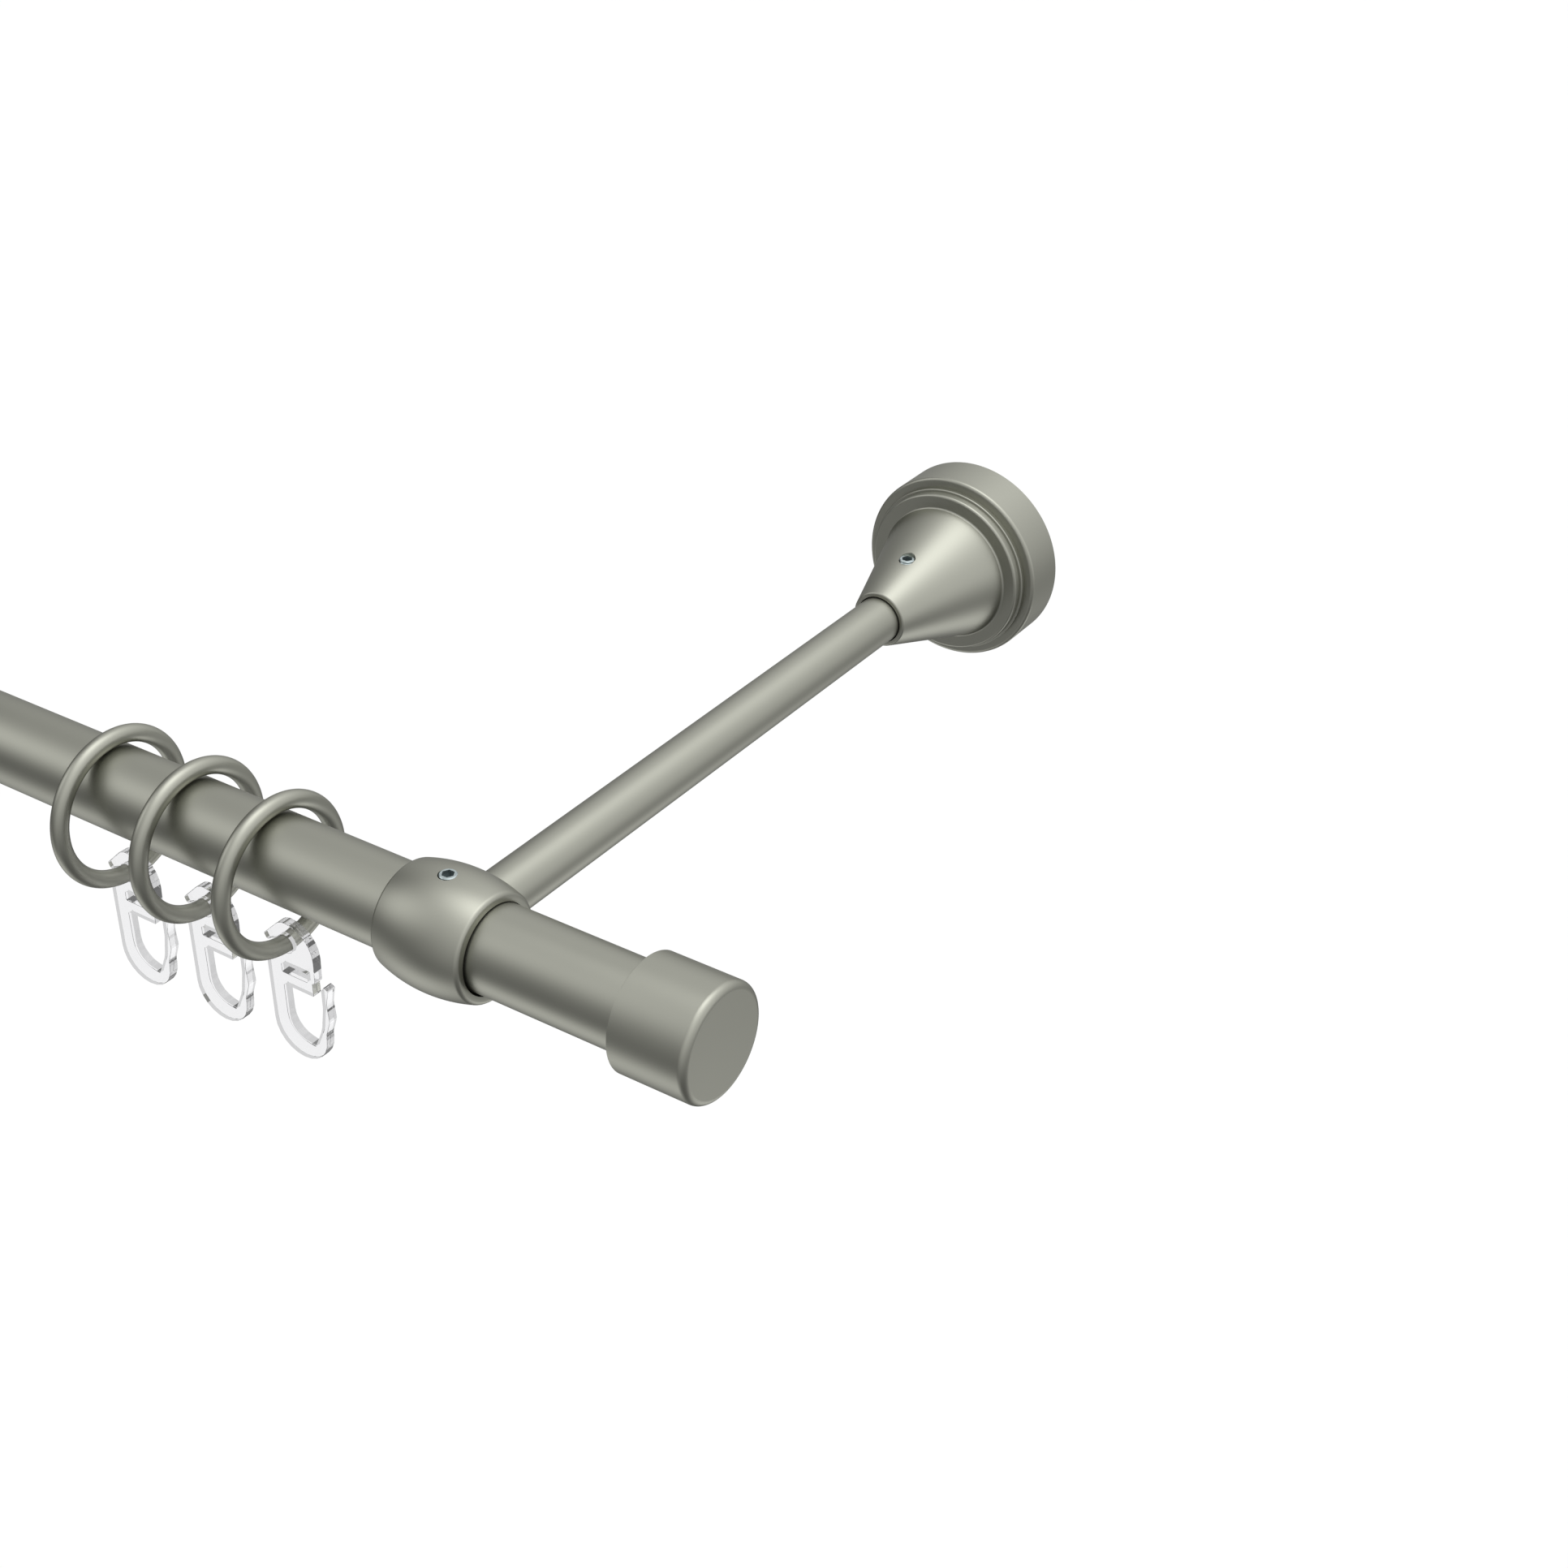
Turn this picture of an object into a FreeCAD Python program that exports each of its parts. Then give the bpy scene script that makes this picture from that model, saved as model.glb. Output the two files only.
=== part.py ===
import FreeCAD, Part
import math
import os
from FreeCAD import Vector

# Curtain rod with two wall brackets, end caps, sliding rings and clip hooks.
# Units are millimetres. +X runs along the pole to its right-hand end, +Y points at the wall, +Z is up.
# The origin is the centre of the right-hand wall plate's back face, where it meets the wall.

# Pole
pole_length = 1000.0
pole_dia = 20.0
pole_wall = 1.0
pole_overhang = 66.0        # from a bracket's middle plane to the end of the pole
wall_distance = 212.0       # from the wall to the pole's axis

# Arm between the wall plate and the pole holder
arm_dia = 12.0

# Pole holder: a barrel-shaped sleeve that the pole passes through
holder_width = 23.5
holder_end_wall = 1.87      # metal between the bore and the outside, at the two ends
holder_bulge = 1.85         # how far the barrel swells from its ends to its middle
holder_edge = 0.8
holder_gap = 0.33           # between the bore and the pole
seat_wall = 2.3             # metal left between the bore and the arm's seat
seat_gap = 0.1

# Grub screws
grub_dia = 4.0
grub_gap = 0.05
grub_hex = 2.5              # across the flats of the socket
grub_hex_depth = 1.9
grub_tip = 0.4              # chamfer at the point

# Countersunk screw that pulls the arm onto the holder
screw_dia = 5.0
screw_head_dia = 8.0
screw_grip = 12.0           # length of thread in the arm
screw_gap = 0.05
screw_sink = 0.05           # how far the head lies below the crown of the bore
screw_end_gap = 0.2         # room past the screw's end in the arm

# End cap and the split plastic liner that grips the pole inside it
cap_wall = 1.65
cap_length = 18.7
cap_floor = 2.5
cap_edge = 1.7
cap_end_gap = 0.2
liner_wall = 1.35
liner_gap = 0.05
liner_setback = 0.8         # how far the liner starts inside the cap's mouth
liner_slits = 3
liner_slit_width = 1.2
liner_slit_length = 9.0

# Wall plate with the socket that holds the arm
plate_thickness = 3.0
plate_gap = 0.3             # between the plate's rim and the rose
socket_wall = 1.85
socket_bore_gap = 0.15
socket_length = 35.0
socket_fillet = 1.5
arm_end_gap = 0.3
bolt_spacing = 30.0
bolt_hole_dia = 5.0
bolt_sink_dia = 9.4

# Wall rose: stepped disc and cone in one casting
rose_dia = 50.0
rose_drum = 12.0            # depth of the outer disc
rose_drum_edge = 1.2
rose_wall = 2.0
rose_shoulder = 2.5         # width of the disc's ring-shaped front
rose_step = 1.5             # how far the first step stands in front of the disc
rose_step_shelf = 0.65      # flat between the first step and the second
rose_band = 2.1             # depth of the second step
rose_band_slope = 0.15      # how far its side slopes in over that depth
rose_face = 3.7             # width of the ring-shaped face round the cone
rose_step_edge = 0.3
rose_band_edge = 1.0
cone_length = 31.9
cone_nose_wall = 1.0
cone_nose_edge = 0.7
cone_foot_fillet = 0.4      # hollow round where the cone meets the second step
cone_bore_gap = 0.3
cone_socket_gap = 0.44      # between the cone's inside and the plate's socket
rose_grub_from_wall = 34.2
rose_grub_gap = 0.15

# Rings
ring_inner_dia = 30.9
ring_wire_dia = 4.2
ring_count = 3              # at each end of the pole
ring_first = 50.0           # from the bracket's middle plane to the nearest ring
ring_pitch = 25.0
ring_rest_gap = 0.15        # between the pole's top and the ring that hangs on it

# Clip hooks: places are measured from the centre of the ring's wire, to the right and up
hook_thickness = 2.4
hook_eye_gap = 0.3          # between the eye and the ring's wire, all round
hook_hang_gap = 0.12        # left over the wire when the hook hangs
hook_corner = 0.4           # round on the small corners
hook_mouth = 3.2            # opening that snaps over the wire
hook_mouth_angle = 25.0     # the mouth points down by this much
hook_nose_length = 5.5      # from the wire's centre to the end of the upper lip
hook_nose_z = 0.6           # top of the nose's blunt end
hook_crown_left = -1.1
hook_crown_z = 5.8
hook_crown_radius = 7.6
hook_shoulder_radius = 4.0  # bend between the crown and the nose
hook_band_right = 8.5       # outer edge of the band beside the eye, at the crown
hook_band_end = 7.85        # the same where the band ends
hook_band_end_z = -8.0
hook_block_right = 7.0
hook_block_z = -11.8        # underside of the slotted block
hook_slot_top = -6.0
hook_slot_bottom = -8.4
hook_slot_right = 5.6
hook_spine_left = -6.5
hook_spine_width = 4.4
hook_bend_radius = 8.0      # outside of the bend at the bottom
hook_bottom = -30.9
hook_bend_inner_radius = 6.0
hook_bend_inner_z = -25.0
hook_heel = 3.9             # inner corner at the foot of the arm, in from the bend's right-hand edge
hook_heel_z = -26.3
hook_foot_z = -21.5         # where the up-turned arm leaves the bend
hook_swell = 1.6            # how far the arm swells outwards
hook_swell_z = -17.2
hook_swell_radius = 3.0
hook_waist = 1.2
hook_waist_z = -12.5
hook_arm_radius = 6.0       # gentle bends along the arm
hook_tip_out = 2.2          # the arm's tip stands out by this much
hook_tip_side_z = -8.4
hook_tip_top = 0.9
hook_tip_z = -7.7
hook_tip_inner_z = -9.1
hook_throat = 0.1           # inner side of the arm, in from the bend's right-hand edge
hook_throat_z = -14.0
hook_calf = 1.2
hook_calf_z = -20.3

# Derived sizes
pole_radius = pole_dia / 2
arm_radius = arm_dia / 2
bore_radius = pole_radius + holder_gap
holder_half = holder_width / 2
holder_end_radius = bore_radius + holder_end_wall
holder_radius = holder_end_radius + holder_bulge
grub_radius = grub_dia / 2
bracket_spacing = pole_length - 2 * pole_overhang
middle_x = -bracket_spacing / 2
pole_y = -wall_distance
arm_seat = bore_radius + seat_wall      # from the pole's axis to the arm's front end
ring_inner_radius = ring_inner_dia / 2
wire_radius = ring_wire_dia / 2
ring_radius = ring_inner_radius + wire_radius
ring_z = pole_radius + ring_rest_gap - ring_inner_radius
cap_bore = pole_radius + liner_wall + 2 * liner_gap
cap_radius = cap_bore + cap_wall
rose_radius = rose_dia / 2
rose_step_radius = rose_radius - rose_shoulder
rose_band_radius = rose_step_radius - rose_step_shelf - rose_band_slope
cone_base_radius = rose_band_radius - rose_face
cone_bore = arm_radius + cone_bore_gap
cone_nose_radius = cone_bore + cone_nose_wall
step_front = rose_drum + rose_step
band_front = step_front + rose_band
cone_front = band_front + cone_length
cone_slope = (cone_base_radius - cone_nose_radius) / cone_length
socket_radius = arm_radius + socket_bore_gap + socket_wall
socket_room = plate_thickness + socket_length + arm_end_gap
plate_radius = rose_radius - rose_wall - plate_gap

X = Vector(1, 0, 0)
Y = Vector(0, 1, 0)
Z = Vector(0, 0, 1)
ORIGIN = Vector(0, 0, 0)

os.makedirs("parts", exist_ok=True)


def export(shape, name):
    solid = shape.removeSplitter()
    if len(solid.Solids) == 1:
        solid = solid.Solids[0]
    solid.exportStep("parts/" + name + ".step")


def export_pair(shape, name):
    """Write the right-hand piece and its mirror image at the other end of the pole."""
    export(shape, name + "_right")
    export(shape.mirror(Vector(middle_x, 0, 0), X), name + "_left")


def rod(radius, length, start, direction):
    return Part.makeCylinder(radius, length, start, direction)


def turned(points, axis):
    """Revolve a closed outline of (along, radius) points about X or Y, and return the solid."""
    corners = [axis * along + Z * radius for along, radius in points]
    outline = Part.makePolygon(corners + [corners[0]])
    return Part.Face(outline).revolve(ORIGIN, axis, 360)


def rim_edges(shape, axis, along, radius):
    """Full circles of the given radius about the axis, at the given distance along it."""
    found = []
    for edge in shape.Edges:
        if not isinstance(edge.Curve, Part.Circle):
            continue
        centre = edge.Curve.Center
        off_axis = (centre - axis * centre.dot(axis)).Length
        same_place = abs(centre.dot(axis) - along) < 0.01 and off_axis < 0.01
        if same_place and abs(edge.Curve.Radius - radius) < 0.01:
            found.append(edge)
    return found


def rounded_face(corners):
    """Face in the XZ plane through (x, z, radius) corners. A radius too large for its sides is reduced."""
    points = [Vector(x, 0, z) for x, z, radius in corners]
    radii = [radius for x, z, radius in corners]
    count = len(points)
    backs = [(points[i - 1] - points[i]).normalize() for i in range(count)]
    aheads = [(points[(i + 1) % count] - points[i]).normalize() for i in range(count)]
    halves = [backs[i].getAngle(aheads[i]) / 2 for i in range(count)]
    cuts = [radii[i] / math.tan(halves[i]) for i in range(count)]
    shares = [1.0] * count
    for i in range(count):
        after = (i + 1) % count
        side = (points[after] - points[i]).Length
        if cuts[i] + cuts[after] > side:
            share = side / (cuts[i] + cuts[after])
            shares[i] = min(shares[i], share)
            shares[after] = min(shares[after], share)
    starts = [points[i] + backs[i] * cuts[i] * shares[i] for i in range(count)]
    finishes = [points[i] + aheads[i] * cuts[i] * shares[i] for i in range(count)]
    edges = []
    for i in range(count):
        if radii[i] > 0:
            inset = radii[i] * shares[i] * (1 / math.sin(halves[i]) - 1)
            middle = points[i] + (backs[i] + aheads[i]).normalize() * inset
            edges.append(Part.Arc(starts[i], middle, finishes[i]).toShape())
        after = (i + 1) % count
        if (starts[after] - finishes[i]).Length > 1e-6:
            edges.append(Part.LineSegment(finishes[i], starts[after]).toShape())
    return Part.Face(Part.Wire(edges))


def make_pole():
    right_end = pole_overhang
    start = Vector(right_end - pole_length, pole_y, 0)
    outside = rod(pole_radius, pole_length, start, X)
    inside = rod(pole_radius - pole_wall, pole_length, start, X)
    return outside.cut(inside)


def make_grub_screw(bottom, top):
    """Hexagon socket grub screw standing upright on its chamfered point."""
    length = top - bottom
    body = rod(grub_radius, length, Vector(0, 0, bottom), Z)
    body = body.makeChamfer(grub_tip, rim_edges(body, Z, bottom, grub_radius))
    corner_radius = grub_hex / math.sqrt(3)
    corners = []
    for index in range(7):
        turn = math.radians(60 * index)
        corners.append(Vector(corner_radius * math.cos(turn), corner_radius * math.sin(turn), top))
    socket = Part.Face(Part.makePolygon(corners)).extrude(Z * -grub_hex_depth)
    return body.cut(socket)


def make_holder():
    left_rim = Vector(-holder_half, 0, holder_end_radius)
    crown = Vector(0, 0, holder_radius)
    right_rim = Vector(holder_half, 0, holder_end_radius)
    back = Part.Arc(left_rim, crown, right_rim).toShape()
    base_left = Vector(-holder_half, 0, 0)
    base_right = Vector(holder_half, 0, 0)
    sides = Part.makePolygon([right_rim, base_right, base_left, left_rim])
    outline = Part.Face(Part.Wire([back] + sides.Edges))
    barrel = outline.revolve(ORIGIN, X, 360)
    rims = []
    for end in (-holder_half, holder_half):
        rims += rim_edges(barrel, X, end, holder_end_radius)
    barrel = barrel.makeFillet(min(holder_edge, holder_end_wall / 2), rims)
    barrel = barrel.cut(rod(bore_radius, holder_width, base_left, X))
    seat = rod(arm_radius + seat_gap, holder_radius, Vector(0, arm_seat, 0), Y)
    grub_hole = rod(grub_radius + grub_gap, holder_radius, ORIGIN, Z)
    screw_hole = make_arm_screw(screw_gap)
    barrel = barrel.cut(seat).cut(grub_hole).cut(screw_hole)
    barrel.translate(Vector(0, pole_y, 0))
    return barrel


def make_arm_screw(extra):
    """Countersunk screw about Y, from the pole's axis. A positive extra makes the hole for it."""
    head_top = bore_radius - screw_sink
    head_radius = screw_head_dia / 2
    shank_radius = screw_dia / 2
    head_depth = head_radius - shank_radius
    end = arm_seat + screw_grip
    outline = [
        (head_top, head_radius + extra),
        (head_top + head_depth, shank_radius + extra),
    ]
    if extra > 0:
        end += screw_end_gap
        outline = [(0, 0), (0, head_radius + extra)] + outline
    else:
        outline = [(head_top, 0)] + outline
    outline += [(end, shank_radius + extra), (end, 0)]
    return turned(outline, Y)


def make_arm():
    front = pole_y + arm_seat
    back = -plate_thickness - arm_end_gap
    bar = rod(arm_radius, back - front, Vector(0, front, 0), Y)
    tapped_hole = make_arm_screw(screw_gap)
    tapped_hole.translate(Vector(0, pole_y, 0))
    return bar.cut(tapped_hole)


def make_cap():
    front = pole_overhang + cap_end_gap + cap_floor
    mouth = front - cap_length
    outside = rod(cap_radius, cap_length, Vector(mouth, 0, 0), X)
    outside = outside.makeFillet(cap_edge, rim_edges(outside, X, front, cap_radius))
    inside = rod(cap_bore, cap_length - cap_floor, Vector(mouth, 0, 0), X)
    cap = outside.cut(inside)
    cap.translate(Vector(0, pole_y, 0))
    return cap


def make_liner():
    front = pole_overhang + cap_end_gap
    mouth = front - (cap_length - cap_floor)
    start = mouth + liner_setback
    length = pole_overhang - start
    outer_radius = pole_radius + liner_gap + liner_wall
    sleeve = rod(outer_radius, length, Vector(start, 0, 0), X)
    sleeve = sleeve.cut(rod(pole_radius + liner_gap, length, Vector(start, 0, 0), X))
    slit_start = pole_overhang - liner_slit_length
    for index in range(liner_slits):
        corner = Vector(slit_start, -liner_slit_width / 2, 0)
        slit = Part.makeBox(liner_slit_length, liner_slit_width, outer_radius * 2, corner)
        slit.rotate(ORIGIN, X, 180 + 360 * index / liner_slits)
        sleeve = sleeve.cut(slit)
    sleeve.translate(Vector(0, pole_y, 0))
    return sleeve


def make_wall_plate():
    disc = rod(plate_radius, plate_thickness, Vector(0, -plate_thickness, 0), Y)
    socket = rod(socket_radius, socket_length, Vector(0, -plate_thickness - socket_length, 0), Y)
    plate = disc.fuse(socket).removeSplitter()
    plate = plate.makeFillet(socket_fillet, rim_edges(plate, Y, -plate_thickness, socket_radius))
    mouth = Vector(0, -plate_thickness - socket_length, 0)
    plate = plate.cut(rod(arm_radius + socket_bore_gap, socket_length, mouth, Y))
    plate = plate.cut(rod(grub_radius + grub_gap, socket_radius * 2, Vector(0, -rose_grub_from_wall, 0), Z))
    sink_depth = (bolt_sink_dia - bolt_hole_dia) / 2
    for side in (-1, 1):
        z = side * bolt_spacing / 2
        hole = rod(bolt_hole_dia / 2, plate_thickness, Vector(0, -plate_thickness, z), Y)
        sink = Part.makeCone(
            bolt_sink_dia / 2, bolt_hole_dia / 2, sink_depth, Vector(0, -plate_thickness, z), Y)
        plate = plate.cut(hole).cut(sink)
    return plate


def cone_radius(from_wall):
    return cone_base_radius - cone_slope * (from_wall - band_front)


def make_rose():
    outline = [
        (0, 0),
        (0, rose_radius),
        (-rose_drum, rose_radius),
        (-rose_drum, rose_step_radius),
        (-step_front, rose_step_radius),
        (-step_front, rose_step_radius - rose_step_shelf),
        (-band_front, rose_band_radius),
        (-band_front, cone_base_radius),
        (-cone_front, cone_nose_radius),
        (-cone_front, 0),
    ]
    rose = turned(outline, Y)
    rose = rose.makeFillet(rose_drum_edge, rim_edges(rose, Y, -rose_drum, rose_radius))
    rose = rose.makeFillet(rose_step_edge, rim_edges(rose, Y, -step_front, rose_step_radius))
    rose = rose.makeFillet(rose_band_edge, rim_edges(rose, Y, -band_front, rose_band_radius))
    rose = rose.makeFillet(cone_nose_edge, rim_edges(rose, Y, -cone_front, cone_nose_radius))
    rose = rose.makeFillet(cone_foot_fillet, rim_edges(rose, Y, -band_front, cone_base_radius))
    drum_floor = rose_drum - rose_wall
    band_floor = band_front - rose_wall
    hollow = [
        (0, 0),
        (0, rose_radius - rose_wall),
        (-drum_floor, rose_radius - rose_wall),
        (-drum_floor, rose_band_radius - rose_wall),
        (-band_floor, rose_band_radius - rose_wall),
        (-band_floor, cone_radius(band_floor) - rose_wall),
        (-socket_room, socket_radius + cone_socket_gap),
        (-socket_room, cone_bore),
        (-cone_front, cone_bore),
        (-cone_front, 0),
    ]
    rose = rose.cut(turned(hollow, Y))
    grub_hole = rod(grub_radius + rose_grub_gap, rose_radius, Vector(0, -rose_grub_from_wall, 0), Z)
    return rose.cut(grub_hole)


def make_ring(x):
    return Part.makeTorus(ring_radius, wire_radius, Vector(x, pole_y, ring_z), X)


def make_hook(x):
    """Flat clip hook: eye with a snap mouth, slotted block, spine and up-turned arm."""
    turn = math.radians(hook_mouth_angle)
    along = Vector(-math.cos(turn), 0, -math.sin(turn))
    across = Vector(-math.sin(turn), 0, math.cos(turn)) * (hook_mouth / 2)
    inside = hook_mouth / 4
    inner_upper = along * inside + across
    inner_lower = along * inside - across
    upper_lip = along * hook_nose_length + across
    lower_reach = (-hook_spine_left - across.x) / math.cos(turn)
    lower_lip = along * lower_reach - across
    spine_right = hook_spine_left + hook_spine_width
    bend_right = hook_spine_left + 2 * hook_bend_radius
    corners = [
        (hook_spine_left, hook_nose_z, hook_corner),
        (upper_lip.x, upper_lip.z, hook_corner),
        (inner_upper.x, inner_upper.z, 0),
        (inner_lower.x, inner_lower.z, 0),
        (hook_spine_left, lower_lip.z, hook_corner),
        (hook_spine_left, hook_bottom, hook_bend_radius),
        (bend_right, hook_bottom, hook_bend_radius),
        (bend_right, hook_foot_z, hook_swell_radius),
        (bend_right + hook_swell, hook_swell_z, hook_swell_radius),
        (bend_right + hook_waist, hook_waist_z, hook_arm_radius),
        (bend_right + hook_tip_out, hook_tip_side_z, hook_corner),
        (bend_right + hook_tip_top, hook_tip_z, hook_corner),
        (bend_right, hook_tip_inner_z, hook_corner),
        (bend_right - hook_throat, hook_throat_z, hook_arm_radius),
        (bend_right - hook_calf, hook_calf_z, hook_arm_radius),
        (bend_right - hook_heel, hook_heel_z, hook_corner),
        (spine_right, hook_bend_inner_z, hook_bend_inner_radius),
        (spine_right, hook_block_z, hook_corner),
        (hook_block_right, hook_block_z, hook_corner),
        (hook_block_right, hook_band_end_z, hook_corner),
        (hook_band_end, hook_band_end_z, hook_corner),
        (hook_band_right, hook_crown_z, hook_crown_radius),
        (hook_crown_left, hook_crown_z, hook_shoulder_radius),
    ]
    plate = rounded_face(corners)
    slot = rounded_face([
        (spine_right, hook_slot_top, hook_corner),
        (spine_right, hook_slot_bottom, hook_corner),
        (hook_slot_right, hook_slot_bottom, hook_corner),
        (hook_slot_right, hook_slot_top, hook_corner),
    ])
    half = hook_thickness / 2
    hook = plate.cut(slot).Faces[0].extrude(Y * hook_thickness)
    hook.translate(Y * -half)
    eye = rod(wire_radius + hook_eye_gap, hook_thickness, Y * -half, Y)
    hook = hook.cut(eye)
    wire_z = ring_z - ring_radius
    hook.translate(Vector(x, pole_y, wire_z - hook_eye_gap + hook_hang_gap))
    return hook


export(make_pole(), "pole")

holder_screw = make_grub_screw(pole_radius, holder_radius)
holder_screw.translate(Vector(0, pole_y, 0))
rose_screw = make_grub_screw(arm_radius, cone_radius(rose_grub_from_wall))
rose_screw.translate(Vector(0, -rose_grub_from_wall, 0))
arm_screw = make_arm_screw(0)
arm_screw.translate(Vector(0, pole_y, 0))

export_pair(make_wall_plate(), "wall_plate")
export_pair(make_rose(), "rose")
export_pair(rose_screw, "rose_screw")
export_pair(make_arm(), "arm")
export_pair(arm_screw, "arm_screw")
export_pair(make_holder(), "holder")
export_pair(holder_screw, "holder_screw")
export_pair(make_cap(), "end_cap")
export_pair(make_liner(), "cap_liner")

for number in range(1, ring_count + 1):
    place = -ring_first - (number - 1) * ring_pitch
    ring = make_ring(place)
    hook = make_hook(place)
    for kind, shape in (("ring", ring), ("hook", hook)):
        export(shape, kind + "_right_" + str(number))
        export(shape.mirror(Vector(middle_x, 0, 0), X), kind + "_left_" + str(number))
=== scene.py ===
import math

import bmesh
import bpy
from bpy.props import FloatProperty, FloatVectorProperty, IntProperty, PointerProperty
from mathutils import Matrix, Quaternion, Vector


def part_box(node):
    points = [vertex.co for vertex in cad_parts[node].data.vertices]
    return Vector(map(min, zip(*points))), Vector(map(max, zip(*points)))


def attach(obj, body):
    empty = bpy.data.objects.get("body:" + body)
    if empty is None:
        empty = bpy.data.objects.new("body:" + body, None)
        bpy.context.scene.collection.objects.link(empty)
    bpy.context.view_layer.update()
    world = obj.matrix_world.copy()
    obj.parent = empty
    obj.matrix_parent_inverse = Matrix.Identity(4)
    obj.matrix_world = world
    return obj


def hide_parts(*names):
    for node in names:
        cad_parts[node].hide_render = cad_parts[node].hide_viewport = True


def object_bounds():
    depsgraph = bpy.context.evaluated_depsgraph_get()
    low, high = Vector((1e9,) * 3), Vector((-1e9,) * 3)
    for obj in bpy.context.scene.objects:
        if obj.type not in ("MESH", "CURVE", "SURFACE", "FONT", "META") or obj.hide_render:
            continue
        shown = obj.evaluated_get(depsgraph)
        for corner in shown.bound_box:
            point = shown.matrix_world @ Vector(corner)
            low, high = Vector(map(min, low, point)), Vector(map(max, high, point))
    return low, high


# Curtain rod on two wall brackets, with end caps, sliding rings and clear clip hooks.
# Units are metres. +X runs along the pole to its right-hand end, +Y points at the wall, +Z is up.

bl_info = {
    "name": "Curtain Rod",
    "version": (1, 0, 0),
    "blender": (4, 5, 0),
    "location": "View3D > Sidebar > Curtain Rod",
    "description": "Models a round metal curtain rod with wall brackets, rings and clip hooks",
    "category": "Add Mesh",
}

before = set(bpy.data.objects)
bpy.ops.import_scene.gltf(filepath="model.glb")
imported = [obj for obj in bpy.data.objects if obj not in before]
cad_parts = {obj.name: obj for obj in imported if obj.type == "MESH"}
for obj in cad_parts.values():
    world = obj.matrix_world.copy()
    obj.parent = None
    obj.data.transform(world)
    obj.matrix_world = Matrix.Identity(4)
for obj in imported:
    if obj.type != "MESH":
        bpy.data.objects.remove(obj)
cad_low, cad_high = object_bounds()

X = Vector((1, 0, 0))
Y = Vector((0, 1, 0))
Z = Vector((0, 0, 1))
RING_NUMBERS = (1, 2, 3)

# Faces round the pieces
ROUND_STEPS = 160           # large turned pieces
PLATE_STEPS = 128           # wall plates
LINER_STEPS = 96            # cap liners and the arms' seats
SMALL_STEPS = 48            # screws and screw holes
WIRE_STEPS = 40             # the rings' wire
EYE_STEPS = 24              # the hooks' eyes
HEXAGON_SIDES = 6

# Modelling
SEED_SIZE = 0.001           # small plane that an outline starts from, before it is merged to a point
MERGE_DISTANCE = 1e-6       # vertices nearer to each other than this become one
RIM_TOLERANCE = 2e-5        # how exactly a rim is found
FACING = 0.999              # least cosine for a face that points along an axis
CUT_OVERRUN = 0.002         # how far a cutter stands past what it cuts
SOCKET_MARGIN = 0.0002      # faces deeper than this under a screw's rim belong to its socket and get painted shade
GRUB_HOLE_DEPTH = 0.006     # from the rose's grub screw's centre down into the wall plate's socket
ARM_HEXAGON = 1.35          # the arm screws' socket against the grub screws' socket
HEXAGON_TURN = math.radians(30)     # how the grub screws' sockets are turned
SMOOTH_ANGLE = math.radians(32)     # faces that meet at a larger angle keep a sharp edge
HOOK_EDGE_ANGLE = math.radians(50)  # edges of the hooks sharper than this are bevelled
THREAD_SHAPE = ((0.1, 0), (0.45, 1), (0.55, 1), (0.9, 0))  # shares of the pitch and of the depth

# Light and camera
SENSOR_WIDTH = 36           # millimetres
NEAR_CLIP = 0.01            # the nearest that the camera sees
WHITE = (1, 1, 1, 1)
BACKDROP_SHARE = 0.15       # how much of the white backdrop the metal sees, over the room's light and shade
INSIDE_LIGHT = 0.6          # light in the clear plastic where its own walls have mirrored it
ROOM_LEVEL = 0.59           # the room's light at the rod's own height
ROOM_SLOPE = 0.875          # how much lighter it gets towards the ceiling
ROOM_DARKEST = 0.02         # least light from any side
ROOM_PATCHES = (            # azimuth and elevation in degrees, amount of light, tightness
    (-64, 27, 3.5, 10),     # main light, at the left and a little above
    (-68, 28, -3.0, 4.7),   # shade round the main light
    (178, 80, 2.2, 11.5),   # overhead light
    (148, -57, 1.9, 19),    # light from below, behind the right-hand end
    (-58, -52, 1.6, 8),     # light from below, at the left
    (-153, 63, -1.25, 22),  # dark patch high over the wall
    (-32, -34, -0.7, 22),   # dark patch low in front
    (110, 2, 0.5, 23),      # faint light at the right-hand end
)
FLOOR_SIZE = 12             # metres
FLOOR_TONE = (0.9, 0.9, 0.9, 1)
FLOOR_WHITE = 0.85          # share of plain white in what the camera sees of the floor
EDGE_TINT = (0.65, 0.65, 0.65)  # how much of the light the lacquered metal gives back at a glancing angle


def centre_of(node):
    low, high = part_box(node)
    return (low + high) / 2


def size_of(node):
    low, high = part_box(node)
    return high - low


POLE = centre_of("pole")
HOLDER = centre_of("holder_right")
BRACKET_SHIFT = centre_of("holder_left") - centre_of("holder_right")


# Settings that the sidebar shows


def metres(name, description, default):
    """Property for a length in metres."""
    return FloatProperty(
        name=name, description=description, default=default, unit="LENGTH", subtype="DISTANCE")


class PoleSizes(bpy.types.PropertyGroup):
    wall: metres("Wall", "Thickness of the tube's wall", 0.001)
    end_edge: metres("End edge", "Small round on the sawn ends of the pole and the arm", 0.0002)
    tapped_radius: metres("Tapped hole", "Radius of the threaded hole in the arm's front end", 0.00255)
    tapped_depth: metres("Tapped depth", "Depth of the threaded hole in the arm's front end", 0.0122)


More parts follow.
